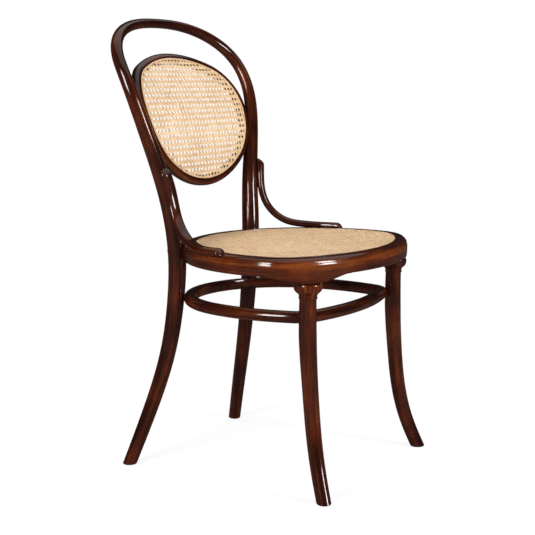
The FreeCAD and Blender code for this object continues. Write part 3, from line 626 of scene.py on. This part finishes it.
brace_angle = np.linspace(0, 2 * math.pi, 36, endpoint=False)
brace_wide, brace_tall = rounded(brace_angle, 2.6)
brace_wide = brace_half_wide * brace_wide
brace_tall = brace_half_tall * brace_tall
along, side_way, up_way = directions(brace_line, lift_way)
body = (brace_line[:, None] + side_way[:, None] * brace_wide[:, None]
        + up_way[:, None] * brace_tall[:, None])
top_end = sloped_end(brace_line[0], -along[0], side_way[0], up_way[0], top_slope)
seat_end = sloped_end(brace_line[-1], along[-1], side_way[-1], up_way[-1], seat_slope)
brace_grid = np.concatenate([top_end[::-1], body[2:-2], seat_end])
brace_long = travelled(brace_line)[-1]
past_end = 6.0
reach = np.concatenate([np.full(len(rounding), -past_end), travelled(brace_line)[2:-2],
                        np.full(len(rounding), brace_long + past_end)])
brace_grain = np.stack(np.broadcast_arrays(reach[:, None], brace_wide, brace_tall), axis=-1)
# The face is painted lighter, most about a third of the way down: stain rubbed thin by sleeves, and
# a painted sheen on the face the light falls on.
place = reach / brace_long
brace_wear_and_painted_sheen = (np.clip(brace_tall / brace_half_tall, 0, 1)
              * np.exp(-((place - 0.35) / 0.3) ** 2)[:, None])
for hand, mirrored in (("right", 1.0), ("left", -1.0)):
    bent_piece(hand + "_bent_brace", brace_grid * (mirrored, 1, 1),
               brace_grain + steady(-700 * mirrored, 80, 50), hand + "_brace",
               tone_wear_and_painted_sheen=brace_wear_and_painted_sheen, crease=50)


# The ring of the back panel
# A bent oval with rounded edges that leans back with the posts and is screwed
# between them. A rebate and a groove in its face hold the cane.
panel_line = Outline(0, [(206.9, 34.2), (120.7, 57.6), (79.9, 67.9)])
panel_bottom, panel_low, panel_high = 548.9, 533.6, 791.6
low_back, high_back = 145.0, 236.7
ring_out, ring_in, ring_half_deep = 14.5, 7.0, 8.5


def panel_back(height):
    """How far back the panel lies: a small even slope and a steep power of the height."""
    up = (height - panel_low) / (panel_high - panel_low)
    return low_back + (high_back - low_back) * (0.08 * up + 0.92 * np.abs(up) ** 2.7)


def panel_square(height):
    """The backward direction square to the panel at a height."""
    slope = panel_back(height + 0.5) - panel_back(height - 0.5)
    zero = np.zeros_like(slope)
    return unit(np.stack([zero, zero + 1, -slope], axis=-1))


def on_panel(plan):
    """Lays a front view of the panel, as (side, up), on its leaning surface."""
    height = panel_bottom + plan[..., 1]
    return np.stack([plan[..., 0], panel_back(height), height], axis=-1)


def panel_ring(across, backward, count):
    """A section of (outward, backward) points carried round the panel's outline."""
    distance = np.linspace(-panel_line.half, panel_line.half, count, endpoint=False)
    plan, way = panel_line.along(distance)
    here = on_panel(plan)
    back = panel_square(here[:, 2])
    ahead = on_panel(plan + way) - here
    out = unit(ahead - back * np.sum(ahead * back, axis=1, keepdims=True))
    across = np.asarray(across, float)
    backward = np.asarray(backward, float)
    grid = here[:, None] + out[:, None] * across[:, None] + back[:, None] * backward[:, None]
    grain = np.stack(np.broadcast_arrays(distance[:, None], across, backward), axis=-1)
    return grid, grain


# The bed under the cane, and the groove in it for the reed.
bed = -ring_half_deep + 1.3 + cane_thickness
back_groove_wide, back_groove_deep = 3.7, 3.4
ring_angle = np.linspace(0, 2 * math.pi, 64, endpoint=False)
ring_wide, ring_back = rounded(ring_angle, 3.0)
ring_wide = (ring_out - ring_in) / 2 + (ring_out + ring_in) / 2 * ring_wide
ring_back = ring_half_deep * ring_back
# The rebate takes away the front inner corner of the rounded section.
kept = (ring_wide > 0.3) | (ring_back > bed + 1.0)
ring_section = np.stack([ring_wide[kept], ring_back[kept]], axis=1)
ring_section = ring_section[np.argsort(np.arctan2(ring_section[:, 1], ring_section[:, 0]))]
rebate = [(-ring_in + 0.2, bed), (-back_groove_wide, bed),
          (-back_groove_wide, bed + back_groove_deep), (0.0, bed + back_groove_deep),
          (0.0, -ring_half_deep + 0.6)]
ring_section = np.concatenate([ring_section, rebate])
ring_grid, ring_grain = panel_ring(ring_section[:, 0], ring_section[:, 1], 480)
ring_grain = ring_grain + steady(150, -260, 90)
bent_piece("bent_panel_ring", ring_grid, ring_grain, "back_panel_ring", ring=True)


# The woven cane
# Split cane in the six-way weave: uprights and crosswise strands in pairs, then one
# diagonal each way that cuts the corners of the gaps and leaves eight-sided holes.
pitch = 11.4
pair_gap = 2.85
strand_wide = {"upright": 2.6, "crosswise": 2.6, "rising": 2.15, "falling": 2.15}
strand_thick = 0.42
pair_wave = 0.32
diagonal_wave = 0.85
shortest_strand = 2.0


def cane_finish():
    """Natural split cane: a pale glossy bark with fine fibres and brown growth marks."""
    finish, tree = new_finish("split_cane")
    grain = stored(tree, (-7, 0), "grain").outputs["Vector"]
    tone = stored(tree, (-7, 2), "tone_wear_and_painted_sheen").outputs["Fac"]
    fibres = grain_noise(tree, grain, (-6, 0), (60, 3200, 3200), 2.0, 0.6)
    marks = grain_noise(tree, grain, (-6, -2), (70, 300, 300), 1.0, 0.5, (2, 9, 4))
    blotch = grain_noise(tree, grain, (-6, -4), (12, 60, 60), 2.0, 0.5, (7, 3, 1))
    bark = shades(tree, (-3, 2), [(0.0, (0.46, 0.28, 0.14)), (0.5, (0.72, 0.50, 0.29)),
                                  (1.0, (0.86, 0.69, 0.48))])
    blotch_weight, fibre_depth, mark_depth = 0.7, 0.7, 0.8
    mixed = weighed_sum(tree, (-4, 2), blotch, blotch_weight, tone)
    tree.links.new(mixed, bark.inputs["Fac"])
    fibre_tone = shades(tree, (-3, 0), [(0.3, (0.78, 0.72, 0.64)), (0.6, (1.0, 1.0, 1.0))])
    tree.links.new(fibres, fibre_tone.inputs["Fac"])
    mark_tone = shades(tree, (-3, -2), [(0.30, (0.42, 0.28, 0.15)), (0.38, (1.0, 1.0, 1.0))])
    tree.links.new(marks, mark_tone.inputs["Fac"])
    colour = darkened(tree, (-2, 1), fibre_depth, bark.outputs["Color"],
                      fibre_tone.outputs["Color"])
    colour = darkened(tree, (-1, 1), mark_depth, colour, mark_tone.outputs["Color"])
    bump = node(tree, "ShaderNodeBump", (-1, -2))
    sockets(bump, Strength=0.3, Distance=0.0001)
    tree.links.new(fibres, bump.inputs["Height"])
    body = node(tree, "ShaderNodeBsdfPrincipled", (0, 0))
    sockets(body, Roughness=0.46, IOR=1.48, Coat_Weight=0.25, Coat_Roughness=0.25)
    tree.links.new(colour, body.inputs["Base Color"])
    tree.links.new(bump.outputs["Normal"], body.inputs["Normal"])
    seen_surface(tree, (2, 0), body.outputs["BSDF"])
    return finish


cane_bark = cane_finish()


def chords(corners, start, way):
    """Where straight lines enter and leave a convex outline.

    Each side of the outline limits the line from one end or the other: the line runs
    from the last entry to the first exit.
    """
    edge = np.roll(corners, -1, axis=0) - corners
    inward = np.stack([-edge[:, 1], edge[:, 0]], axis=1)
    rate = inward @ way
    room = np.einsum("ij,kij->ki", inward, start[:, None] - corners[None])
    with np.errstate(divide="ignore", invalid="ignore"):
        hit = -room / rate
    enter = np.where(rate > 1e-9, hit, -np.inf).max(axis=1)
    leave = np.where(rate < -1e-9, hit, np.inf).min(axis=1)
    return enter, leave


def strand_runs(kind, corners):
    """The strands of one direction: starts, direction, wave and ends in the plane.

    Uprights rise and fall as a sine of the pitch, one way for the left of a pair and
    the other way for the right. The diagonals follow a cosine of half their pitch.
    """
    reach = np.abs(corners).max() + 2 * pitch
    most = int(reach / pitch) * 2 + 2
    cells = np.arange(-most, most + 1)
    if kind in ("upright", "crosswise"):
        offsets = np.concatenate([cells * pitch - pair_gap / 2, cells * pitch + pair_gap / 2])
        flips = np.concatenate([np.ones(len(cells)), -np.ones(len(cells))])
        way = steady(0, 1) if kind == "upright" else steady(1, 0)
        across = steady(1, 0) if kind == "upright" else steady(0, 1)
        if kind == "crosswise":
            flips = -flips
        start = offsets[:, None] * across
    else:
        lean_way = 1.0 if kind == "rising" else -1.0
        way = steady(1, lean_way) / math.sqrt(2)
        offsets = (cells + 0.5) * pitch
        start = np.stack([offsets, 0 * offsets], axis=1)
        flips = np.full(len(offsets), 1.0 if kind == "rising" else -1.0)
    enter, leave = chords(corners, start, way)
    good = leave - enter > shortest_strand
    return start[good], way, flips[good], enter[good], leave[good]


def woven_strands(name, kind, corners, lay, source, seed):
    """Every strand of one direction as one piece of flat, crowned ribbon.

    lay places (x, y, height above the sheet) in space. Each ribbon's five-cornered
    section is its width, its thickness and a low crown.
    """
    tones = np.random.default_rng(seed)
    paired = kind in ("upright", "crosswise")
    step = pitch / 8 if paired else pitch * math.sqrt(2) / 10
    start, way, flips, enter, leave = strand_runs(kind, corners)
    across = steady(-way[1], way[0])
    wide = strand_wide[kind] / 2
    section_out = np.array([-wide, wide, wide, 0.0, -wide])
    section_up = np.array([-0.5, -0.5, 0.12, 0.5, 0.12]) * strand_thick
    points, grains, shade, faces = [], [], [], []
    first = 0
    for place, flip, low, high in zip(start, flips, enter, leave):
        count = max(3, int((high - low) / step) + 1)
        run = np.linspace(low, high, count)
        middle = place + run[:, None] * way
        if paired:
            height = flip * pair_wave * np.sin(2 * math.pi * run / pitch)
        else:
            height = flip * diagonal_wave * np.cos(2 * math.pi * middle[:, 1] / pitch)
        plan = middle[:, None] + across * section_out[:, None]
        levels = height[:, None] + section_up
        points.append(lay(np.concatenate([plan, levels[..., None]], axis=-1)).reshape(-1, 3))
        # Each strand is cut from its own stem, a little lighter or darker than the next.
        stem = tones.uniform(0, 4000)
        grains.append(np.stack(np.broadcast_arrays(
            stem + run[:, None], stem * 0.37 + section_out, section_up), axis=-1).reshape(-1, 3))
        shade.append(np.full(count * 5, np.clip(tones.normal(0.2, 0.16), -0.2, 0.6)))
        faces.append(skin(count, 5, False, first))
        near_end = first + np.arange(5)
        far_end = near_end + (count - 1) * 5
        faces.append(near_end[[0, 4, 2, 1]][None])
        faces.append(far_end[[0, 1, 2, 4]][None])
        first += count * 5
    placed_piece(name, np.concatenate(points), np.concatenate(faces), [],
                 np.concatenate(grains), np.concatenate(shade), 50, cane_bark, source)


# The cane of the back panel, bent to the lean of the ring: rows are spaced along
# the leaning surface, so its outline is first laid out flat.
heights = np.linspace(panel_low - 5, panel_high + 5, 400)
slant = np.concatenate([[0.0], np.cumsum(np.hypot(np.diff(heights), np.diff(panel_back(heights))))])
back_margin = 3.4
outline_steps = np.linspace(-panel_line.half, panel_line.half, 240, endpoint=False)
plan, way = panel_line.along(outline_steps)
back_corners = plan - way * back_margin
back_corners[:, 1] = np.interp(panel_bottom + back_corners[:, 1], heights, slant)
back_middle = back_corners[:, 1].mean()
back_corners[:, 1] -= back_middle
sheet_level = -ring_half_deep + 1.0 + cane_thickness / 2


def lay_back(cells):
    """Bends the flat sheet: the second place is a distance up the leaning surface."""
    height = np.interp(cells[..., 1] + back_middle, slant, heights)
    surface = np.stack([cells[..., 0], panel_back(height), height], axis=-1)
    return surface + panel_square(height) * (sheet_level - cells[..., 2:3])


for number, kind in enumerate(strand_wide):
    woven_strands("back_cane_%s_strands" % kind, kind, back_corners, lay_back, "back_cane",
                  11 + number)

# The cane of the seat, drawn flat and tight over the rim's rebate.
seat_margin = 4.0
plan, way = seat_line.along(np.linspace(-seat_line.half, seat_line.half, 240, endpoint=False))
seat_corners = plan - way * seat_margin
seat_middle = (seat_corners[:, 1].max() + seat_corners[:, 1].min()) / 2
seat_corners[:, 1] -= seat_middle


def lay_seat(cells):
    """Lays the flat sheet level, its middle under the top of the seat."""
    level = seat_top - cane_thickness / 2 + cells[..., 2]
    return np.stack([cells[..., 0], cells[..., 1] + seat_middle, level], axis=-1)


for number, kind in enumerate(strand_wide):
    woven_strands("seat_cane_%s_strands" % kind, kind, seat_corners, lay_seat, "seat_cane",
                  31 + number)


# The reeds that lock the cane in its grooves
# Round-topped reed tapped in with glue. The seat's is stained with the wood, the
# back's is left natural.
crown_turn = angle_steps(9, 0, 180)
reed_crown = 1.1
seat_reed_low, back_reed_high = 0.2, 1.8
half_groove = groove_wide / 2
seat_reed_out = np.concatenate([[-groove_wide, 0.0],
                                -half_groove + half_groove * np.cos(crown_turn)])
seat_reed_fall = np.concatenate([[groove_deep, groove_deep],
                                 seat_reed_low - reed_crown * np.sin(crown_turn)])
reed_grid, reed_grain = flat_ring(seat_line, seat_reed_out, seat_top - seat_reed_fall, 480)
bent_piece("seat_cane_reed", reed_grid, reed_grain, "seat_cane_spline", ring=True)
half_groove = back_groove_wide / 2
back_reed_out = np.concatenate([[-back_groove_wide, 0.0],
                                -half_groove + half_groove * np.cos(crown_turn)])
back_reed_back = np.concatenate([[bed + back_groove_deep, bed + back_groove_deep],
                                 bed - back_reed_high - reed_crown * np.sin(crown_turn)])
reed_grid, reed_grain = panel_ring(back_reed_out, back_reed_back, 400)
bent_piece("back_cane_reed", reed_grid, reed_grain, "back_cane_spline", ring=True,
           finish=cane_bark)


# The hardware
# Steel carriage bolts with washers and hexagon nuts hold the posts to the rim, and
# brass countersunk screws hold the hoop, the braces and the panel ring.
def metal_finish(name, bright, dull, roughness):
    """Worn metal: a bright and a dulled tone, mixed by fine clouds on the surface."""
    finish, tree = new_finish(name)
    place = node(tree, "ShaderNodeTexCoord", (-5, 0)).outputs["Object"]
    clouds = grain_noise(tree, place, (-4, 0), (260, 260, 260), 4.0, 0.6)
    tone = shades(tree, (-2, 1), [(0.38, dull), (0.62, bright)])
    tree.links.new(clouds, tone.inputs["Fac"])
    rough = node(tree, "ShaderNodeMapRange", (-2, -1))
    sockets(rough, To_Min=roughness + 0.15, To_Max=roughness)
    tree.links.new(clouds, rough.inputs["Value"])
    body = node(tree, "ShaderNodeBsdfPrincipled", (0, 0))
    sockets(body, Metallic=1.0)
    tree.links.new(tone.outputs["Color"], body.inputs["Base Color"])
    tree.links.new(rough.outputs["Result"], body.inputs["Roughness"])
    seen_surface(tree, (2, 0), body.outputs["BSDF"])
    return finish


steel = metal_finish("dulled_steel", (0.36, 0.34, 0.31), (0.12, 0.10, 0.085), 0.35)
brass = metal_finish("aged_brass", (0.20, 0.12, 0.045), (0.06, 0.032, 0.014), 0.4)
fixings = {"seat_bolts": steel, "seat_bolt_washers": steel, "seat_bolt_nuts": steel,
           "hoop_front_screws": brass, "hoop_back_screws": brass, "brace_top_screws": brass,
           "brace_seat_screws": brass, "panel_ring_screws": brass}
for fixing, finish in fixings.items():
    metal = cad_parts[fixing].data
    metal.materials.clear()
    metal.materials.append(finish)


# The studio
# A pale floor that fades into a white background, soft light from all round, a soft
# box to the left and one in front for the highlights, and a large one overhead.
def white_floor():
    """A pale floor near the chair that turns plain white away from it."""
    finish, tree = new_finish("pale_floor")
    place = node(tree, "ShaderNodeTexCoord", (-5, 0)).outputs["Object"]
    distance = node(tree, "ShaderNodeVectorMath", (-4, 0), operation="LENGTH")
    tree.links.new(place, distance.inputs[0])
    fade = node(tree, "ShaderNodeMapRange", (-3, 0), interpolation_type="SMOOTHSTEP")
    sockets(fade, From_Min=0.35, From_Max=1.1, To_Min=0.82)
    tree.links.new(distance.outputs["Value"], fade.inputs["Value"])
    seen = node(tree, "ShaderNodeLightPath", (-3, 2))
    both = node(tree, "ShaderNodeMath", (-2, 1), operation="MULTIPLY")
    tree.links.new(seen.outputs["Is Camera Ray"], both.inputs[0])
    tree.links.new(fade.outputs["Result"], both.inputs[1])
    body = node(tree, "ShaderNodeBsdfDiffuse", (-1, 0))
    # Seen in reflections the floor is painted dark: a painted dark reflection in the chair's gloss,
    # not the floor's own colour.
    floor_tone_and_painted_dark_reflection = shades(tree, (-2, -2), [(0.0, (0.94, 0.94, 0.94)), (1.0, (0.10, 0.085, 0.075))])
    tree.links.new(seen.outputs["Is Glossy Ray"], floor_tone_and_painted_dark_reflection.inputs["Fac"])
    tree.links.new(floor_tone_and_painted_dark_reflection.outputs["Color"], body.inputs["Color"])
    white = node(tree, "ShaderNodeEmission", (-1, -1))
    mix = node(tree, "ShaderNodeMixShader", (0, 0))
    tree.links.new(both.outputs[0], mix.inputs[0])
    tree.links.new(body.outputs[0], mix.inputs[1])
    tree.links.new(white.outputs[0], mix.inputs[2])
    seen_surface(tree, (1, 0), mix.outputs[0])
    return finish


floor_reach = 12.0
floor_corners = [(side * floor_reach, back * floor_reach, 0)
                 for side, back in ((-1, -1), (1, -1), (1, 1), (-1, 1))]
floor_mesh = bpy.data.meshes.new("floor")
floor_mesh.from_pydata(floor_corners, [], [(0, 1, 2, 3)])
floor_mesh.materials.append(white_floor())
floor = bpy.data.objects.new("floor", floor_mesh)
bpy.context.collection.objects.link(floor)

world = bpy.data.worlds.new("studio")
bpy.context.scene.world = world
world.use_nodes = True
sky = world.node_tree
sky.nodes.clear()
ambient = sockets(node(sky, "ShaderNodeBackground", (0, 1)),
                  Color=(0.93, 0.95, 1.0, 1.0), Strength=0.55)
paper = sockets(node(sky, "ShaderNodeBackground", (0, 0)),
                Color=(1.0, 1.0, 1.0, 1.0), Strength=1.0)
dim_walls = sockets(node(sky, "ShaderNodeBackground", (0, 2)),
                    Color=(1.0, 0.90, 0.82, 1.0), Strength=0.02)
# Glossy rays meet dim walls, other rays the soft ambient light, and the camera white.
seen = node(sky, "ShaderNodeLightPath", (-1, 3))
mirrored_sky = node(sky, "ShaderNodeMixShader", (1, 1))
sky.links.new(seen.outputs["Is Glossy Ray"], mirrored_sky.inputs[0])
sky.links.new(ambient.outputs[0], mirrored_sky.inputs[1])
sky.links.new(dim_walls.outputs[0], mirrored_sky.inputs[2])
choice = node(sky, "ShaderNodeMixShader", (1, 0))
sky.links.new(seen.outputs["Is Camera Ray"], choice.inputs[0])
sky.links.new(mirrored_sky.outputs[0], choice.inputs[1])
sky.links.new(paper.outputs[0], choice.inputs[2])
around = node(sky, "ShaderNodeOutputWorld", (2, 0))
sky.links.new(choice.outputs[0], around.inputs["Surface"])
lamp_target = Vector((0, 0, 0.45))


def soft_box(name, azimuth, elevation, distance, wide, tall, power):
    """A rectangular lamp that faces the seat from a compass direction."""
    lamp = bpy.data.lights.new(name, "AREA")
    lamp.shape = "RECTANGLE"
    lamp.size, lamp.size_y = wide, tall
    lamp.energy = power
    turn, tilt = math.radians(azimuth), math.radians(elevation)
    way = Vector((math.sin(turn) * math.cos(tilt), -math.cos(turn) * math.cos(tilt),
                  math.sin(tilt)))
    box = bpy.data.objects.new(name, lamp)
    bpy.context.collection.objects.link(box)
    box.location = lamp_target + way * distance
    box.rotation_euler = way.to_track_quat("Z", "Y").to_euler()


soft_box("left_soft_box", -96, 18, 2.6, 0.8, 1.0, 60)
soft_box("front_soft_box", 1, 16, 2.8, 0.5, 1.0, 54)
soft_box("overhead_soft_box", 60, 78, 3.4, 5.0, 5.0, 66)


# The camera stands at a seated eye's height, to the left of the chair's front.
azimuth, pan, pitch_down = map(math.radians, (-59.734, 0.390, 8.780))
stand_off, eye_height, seat_shift = 2.37258, 0.74676, 0.0188
view = bpy.data.cameras.new("camera")
view.sensor_width = 36.0
view.lens = 82.54
camera = bpy.data.objects.new("camera", view)
bpy.context.collection.objects.link(camera)
camera.location = (math.sin(azimuth) * stand_off, -math.cos(azimuth) * stand_off - seat_shift,
                   eye_height)
aim = azimuth + pan
ahead = Vector((-math.sin(aim) * math.cos(pitch_down), math.cos(aim) * math.cos(pitch_down),
                -math.sin(pitch_down)))
camera.rotation_euler = ahead.to_track_quat("-Z", "Y").to_euler()
bpy.context.scene.camera = camera
bpy.context.scene.view_settings.view_transform = "Standard"
